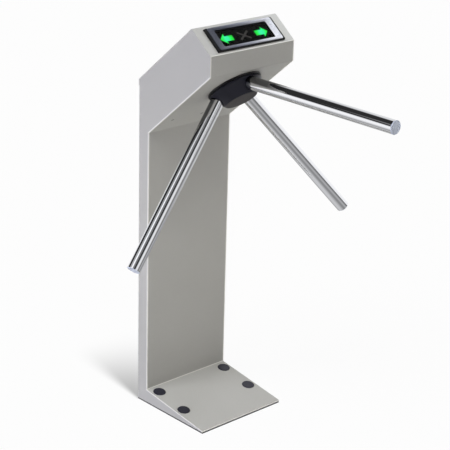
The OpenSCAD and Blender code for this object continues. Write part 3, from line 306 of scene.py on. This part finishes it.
def circuit(name, colour):
    """Solder mask over copper tracks: a lattice of raised runs under green lacquer."""
    s = Surface(name, Roughness=0.35)
    runs = s.node("ShaderNodeTexBrick", {
        "Vector": s.place, "Scale": 60.0, "Mortar Size": 0.012, "Color1": shade(colour, 0.9),
        "Color2": shade(colour, 1.1), "Mortar": shade(colour, 1.7)})
    stain = s.between(s.noise(300.0), 0.0, 0.3)
    s.feed(s.mixed(stain, runs.outputs["Color"], shade(colour, 0.7)), "Base Color")
    s.bump((runs.outputs["Fac"], 30 * MICRON))
    return s.material


finishes = {
    # the stand
    "shell_paint": powder_coat("shell_paint", srgb(188, 187, 182)),
    "base_paint": powder_coat("base_paint", srgb(58, 58, 60), 0.6),
    "plug_plastic": moulded("plug_plastic", srgb(38, 38, 50), 0.42, gloss=0.4),
    "bare_steel": metal("bare_steel", srgb(176, 178, 180), 0.35, 220.0, (1, 1, 0.15)),
    "fastener_steel": metal("fastener_steel", srgb(120, 118, 114), 0.32, 300.0),
    # the display; the frame has a painted sheen, dark on the left and pale on the right
    "bezel_plastic": moulded("bezel_plastic", srgb(11, 11, 13), 0.3, gloss=0.3),
    "trim_metal": anodised_painted_sheen(
        "trim_metal", "display_trim", 0.28,
        (0.0, srgb(92, 95, 106)), (0.25, srgb(112, 115, 128)),
        (0.53, srgb(154, 157, 168)), (0.95, srgb(238, 239, 245))),
    "display_glass": clear_glass("display_glass", srgb(236, 238, 238)),
    "mask_plastic": moulded("mask_plastic", srgb(8, 8, 8), 0.6, gloss=0.02),
    "dim_lens": moulded("dim_lens", srgb(94, 88, 84), 0.45),
    "circuit_board": circuit("circuit_board", srgb(28, 92, 52)),
    "board_plastic": moulded("board_plastic", srgb(36, 36, 38), 0.4),
    # the hub and the arms
    "collar_black": moulded("collar_black", srgb(16, 16, 19), 0.3, gloss=0.9),
    "hub_black": moulded("hub_black", srgb(27, 27, 42), 0.38, gloss=0.45),
    "cap_grey": moulded("cap_grey", srgb(74, 71, 71), 0.5, gloss=0.1),
    # chrome arms, with a painted dark reflection on their roots
    "arm_chrome": metal(
        "arm_chrome", srgb(245, 246, 250), 0.05, 900.0, drift=0.02, depth=0.2 * MICRON,
        painted_dark_reflection=painted_root_reflection),
    "cap_chrome": metal(
        "cap_chrome", srgb(230, 238, 254), 0.4, 700.0, drift=0.03, metallic=0.3),
    # the mechanism and the lock
    "shaft_steel": metal("shaft_steel", srgb(190, 190, 192), 0.22, 500.0, (1, 0.2, 0.2)),
    "bearing_steel": metal("bearing_steel", srgb(206, 206, 208), 0.14, 500.0),
    "housing_metal": metal("housing_metal", srgb(168, 170, 172), 0.42, 260.0),
    "gear_brass": metal("gear_brass", srgb(206, 172, 98), 0.26, 420.0),
    "disc_plastic": moulded("disc_plastic", srgb(30, 30, 34), 0.36),
    "damper_black": moulded("damper_black", srgb(34, 34, 36), 0.4),
    "spring_steel": metal("spring_steel", srgb(160, 162, 168), 0.24, 600.0),
    "solenoid_metal": metal("solenoid_metal", srgb(150, 152, 158), 0.36, 300.0),
    "plunger_chrome": metal("plunger_chrome", srgb(214, 216, 220), 0.1, 800.0),
    "lock_chrome": metal("lock_chrome", srgb(204, 206, 210), 0.14, 700.0),
    "lock_steel": metal("lock_steel", srgb(170, 170, 172), 0.3, 400.0),
}
GREEN_EDGE, GREEN_CORE = (0.0, 1.0, 0.05, 1), (0.035, 1.0, 0.45, 1)
lenses = {
    arrow: lit_lens(arrow + "_lens", arrow, GREEN_EDGE, GREEN_CORE)
    for arrow in ("arrow_left", "arrow_right")
}

for part in frame["record"]["subparts"]:
    name = part["node"]
    if name in lenses:
        finish = lenses[name]
    else:
        finish = finishes[part["material_slot"]]
    mesh = nodes[name].data
    mesh.materials.clear()
    mesh.materials.append(finish)


# Edges of the object

def rounded(name, width):
    """Rounds a CAD node's edges: its seams are joined, its flats made whole, and its corners
    bevelled."""
    seam, flatness, corner = 1e-6, math.radians(1.0), math.radians(35.0)
    piece = nodes[name]
    weld = piece.modifiers.new("weld", "WELD")
    weld.merge_threshold = seam
    flats = piece.modifiers.new("flats", "DECIMATE")
    flats.decimate_type = "DISSOLVE"
    flats.angle_limit = flatness
    bevel = piece.modifiers.new("bevel", "BEVEL")
    bevel.width = width
    bevel.segments = 2
    bevel.limit_method = "ANGLE"
    bevel.angle_limit = corner
    bevel.use_clamp_overlap = True
    normals = piece.modifiers.new("normals", "WEIGHTED_NORMAL")
    normals.keep_sharp = False


# edge widths in millimetres
for width, names in (
    (1.2, ("hub_body",)),
    (1.0, ("stand_shell",)),
    (0.8, ("hub_collar",)),
    (0.6, ("base_plate", "display_bezel", "hub_cap")),
    (0.5, ("head_cover", "column_cover", "anchor_plugs", "arm_cap_1", "arm_cap_2", "arm_cap_3")),
    (0.4, ("lock_barrel",)),
    (0.3, ("display_trim",)),
    (0.2, ("underside_screws", "cover_screws")),
):
    for name in names:
        rounded(name, width * MM)


# Floor, world, lights and camera

def direction(azimuth, elevation):
    """A unit vector; azimuth 0 is to the front, 90 to the part's +X side."""
    a, e = math.radians(azimuth), math.radians(elevation)
    return (math.sin(a) * math.cos(e), -math.cos(a) * math.cos(e), math.sin(e))


class Setting(Wiring):
    """The floor's or the world's tree, begun empty. It can differ by the kind of ray."""

    def __init__(self, tree):
        super().__init__(tree)
        tree.nodes.clear()

    def seen(self, *kinds):
        """One where the ray is of one of these kinds, and zero elsewhere."""
        path = self.node("ShaderNodeLightPath")
        total = path.outputs[f"Is {kinds[0]} Ray"]
        for kind in kinds[1:]:
            total = self.maths("MAXIMUM", total, path.outputs[f"Is {kind} Ray"])
        return total

    def mix(self, fac, a, b):
        return self.node("ShaderNodeMixShader", {0: fac, 1: a, 2: b}).outputs[0]

    def fade(self, value, start, stop, level=1.0):
        """The level where value is at start, easing to zero at stop."""
        made = self.node("ShaderNodeMapRange", {
            "Value": value, "From Min": start, "From Max": stop, "To Min": level, "To Max": 0.0},
            interpolation_type="SMOOTHSTEP")
        return made.outputs["Result"]

    def patch(self, way, azimuth, elevation, inner, outer, level=1.0):
        """A soft round screen: its full level inside one angle, and none outside the other."""
        cosine = self.measure("DOT_PRODUCT", way, direction(azimuth, elevation))
        edges = (math.cos(math.radians(angle)) for angle in (inner, outer))
        return self.fade(cosine, *edges, level)

    def levels(self, value, *stops):
        """A level that changes from stop to stop, each (value, level)."""
        return self.ramp(value, *((at, grey(level)) for at, level in stops))


def column_shade(w, place):
    """The soft shade behind the stand, one where it is darkest. Going back, its left edge drifts
    to the right and gets softer."""
    drift, softening, sharpest = 0.17, 0.12, 0.006
    split = w.parted(place)
    low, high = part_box("stand_shell")
    behind = w.maths("SUBTRACT", split["Y"], high.y)
    edge = w.maths("ADD", w.maths("MULTIPLY", behind, drift), low.x)
    side = w.maths("SUBTRACT", split["X"], edge)
    softness = w.maths("ADD", w.maths("MULTIPLY", behind, softening), sharpest)
    dark = w.fade(w.maths("DIVIDE", side, softness), 1.0, -1.0)
    for value, start, stop in (
        (side, -0.02, 0.30), (behind, 0.0, 0.36), (behind, -0.002, -0.004)
    ):
        dark = w.maths("MULTIPLY", dark, w.fade(value, start, stop))
    return dark


def floor_in_mirrors(w, place):
    """How bright mirrors see the floor: to the rear grey close by and white far off, and to the
    front dark far off."""
    half_reach = 1.5
    far = w.measure("LENGTH", place)
    reach = w.maths("DIVIDE", far, w.maths("ADD", far, half_reach))
    outward = w.node("ShaderNodeVectorMath", {0: place}, operation="NORMALIZE").outputs["Vector"]
    rear = w.levels(
        reach, (0.15, 0.6), (0.33, 0.34), (0.39, 0.46), (0.49, 0.7), (0.62, 0.94), (0.82, 1.0))
    front = w.levels(
        reach, (0.15, 0.62), (0.32, 0.26), (0.42, 0.3), (0.52, 0.48), (0.66, 0.3), (0.85, 0.14))
    to_rear = w.patch(outward, azimuth=170, elevation=0, inner=75, outer=120)
    made = w.node("ShaderNodeMix", {"Factor": to_rear, "A": front, "B": rear}, data_type="FLOAT")
    return made.outputs["Result"]


def white_floor():
    """Pale matt floor. The camera sees it mostly as the white background, with the object's
    shadow left in, and with the soft shade behind the column painted on."""
    size, gap = 80.0, 0.0003
    shade_depth, whiteness = 0.55, 0.94
    material = bpy.data.materials.new("floor_white")
    material.use_nodes = True
    w = Setting(material.node_tree)
    place = w.node("ShaderNodeNewGeometry").outputs["Position"]
    dark = w.maths("MULTIPLY", column_shade(w, place), shade_depth)
    background = w.node("ShaderNodeEmission", {"Strength": w.maths("SUBTRACT", 1.0, dark)})
    mirrored = w.node("ShaderNodeEmission", {"Strength": floor_in_mirrors(w, place)})
    matt = w.node("ShaderNodeBsdfDiffuse", {"Color": (0.8, 0.79, 0.77, 1)})
    plain = w.mix(
        w.maths("MULTIPLY", w.seen("Camera"), whiteness), matt.outputs[0], background.outputs[0])
    surface = w.mix(w.seen("Glossy", "Transmission"), plain, mirrored.outputs[0])
    w.node("ShaderNodeOutputMaterial", {"Surface": surface})

    bpy.ops.mesh.primitive_plane_add(size=size, location=(0, 0, -gap))
    plane = bpy.context.object
    plane.name = "floor"
    plane.data.materials.append(material)


def studio_world():
    """A large softbox up on the left, a faint warm dome and weak fills light the object, and the
    camera sees white. Mirrors see a dark ceiling, a pale sweep of paper behind the object and to
    its right, and a few soft white screens."""
    world = bpy.data.worlds.new("studio")
    world.use_nodes = True
    bpy.context.scene.world = world
    w = Setting(world.node_tree)
    way = w.node("ShaderNodeTexCoord").outputs["Generated"]
    height = w.parted(way)["Z"]

    def glow(strength, colour=(1, 1, 1)):
        made = w.node("ShaderNodeBackground", {"Color": (*colour, 1), "Strength": strength})
        return made.outputs[0]

    studio = glow(0.25, (1.02, 1.0, 0.95))
    # each screen: azimuth, elevation, inner and outer angle, level; then its colour
    for screen, colour in (
        ((-85, 57, 15, 20, 7.9), (0.98, 1.0, 1.0)),
        ((-90, 15, 12, 35, 0.8), (0.1, 0.1, 1.0)),
        ((80, 20, 12, 35, 0.3), (1.0, 0.85, 0.3)),
    ):
        light = glow(w.patch(way, *screen), colour)
        studio = w.node("ShaderNodeAddShader", {0: studio, 1: light}).outputs[0]

    ceiling = 0.026
    behind = w.maths("MULTIPLY", w.fade(height, 0.07, 0.28), w.patch(way, 165, 5, 70, 105, 0.95))
    right = w.maths("MULTIPLY", w.fade(height, 0.1, 0.32), w.patch(way, 95, 5, 20, 85, 0.95))
    mirrored = w.maths("MAXIMUM", w.maths("MAXIMUM", behind, right), ceiling)
    for screen in (
        (12, 20, 9, 26, 0.8), (146, 18, 12, 26, 0.78), (-88, 46, 8, 20, 1.0),
        (-120, 36, 6, 19, 0.55), (-60, 52, 5, 36, 0.2), (8, 72, 8, 30, 1.0),
        (118, 44, 10, 32, 1.0),
    ):
        mirrored = w.maths("MAXIMUM", mirrored, w.patch(way, *screen))
    lit = w.mix(w.seen("Glossy", "Transmission"), studio, glow(mirrored))
    w.node("ShaderNodeOutputWorld", {"Surface": w.mix(w.seen("Camera"), lit, glow(1.0))})


def spot(name, place, target, power, cone, softness, colour):
    """A soft spot, unseen in mirrors and glass."""
    light = bpy.data.lights.new(name, "SPOT")
    light.energy = power
    light.color = colour
    light.spot_size = math.radians(cone)
    light.spot_blend = 1.0
    light.shadow_soft_size = softness
    lamp = bpy.data.objects.new(name, light)
    lamp.location = place
    aim = Vector(target) - Vector(place)
    lamp.rotation_euler = aim.to_track_quat("-Z", "Y").to_euler()
    lamp.visible_glossy = lamp.visible_transmission = False
    bpy.context.scene.collection.objects.link(lamp)


def camera():
    """The photograph's camera, fitted to its straight edges. Its focal length is in pixels."""
    pixels, focal = 450, 1529.85
    yaw, pitch, roll = (math.radians(angle) for angle in (-42.89, 20.69, 1.49))
    place = (-2.3625, -2.6055, 1.804)
    back = Vector((
        math.sin(yaw) * math.cos(pitch), -math.cos(yaw) * math.cos(pitch), math.sin(pitch)))
    right = Vector((math.cos(yaw), math.sin(yaw), 0))
    up = back.cross(right)
    across = math.cos(roll) * right + math.sin(roll) * up
    upright = -math.sin(roll) * right + math.cos(roll) * up
    data = bpy.data.cameras.new("camera")
    data.sensor_width = 36
    data.lens = focal / pixels * data.sensor_width
    data.clip_start, data.clip_end = 0.1, 200
    made = bpy.data.objects.new("camera", data)
    made.matrix_world = Matrix(
        [[across[i], upright[i], back[i], place[i]] for i in range(3)] + [[0, 0, 0, 1]])
    bpy.context.scene.collection.objects.link(made)
    bpy.context.scene.camera = made


white_floor()
studio_world()
spot("display_light", place=(0.45, -0.13, 1.45), target=(0.03, -0.14, 0.97),
     power=11, cone=48, softness=0.14, colour=(0.92, 0.98, 1.1))
spot("column_light", place=(-1.33, -0.9, 0.52), target=(0, 0, 0.42),
     power=48, cone=22, softness=0.35, colour=(1.0, 0.99, 0.96))
camera()
bpy.context.scene.view_settings.view_transform = "Standard"
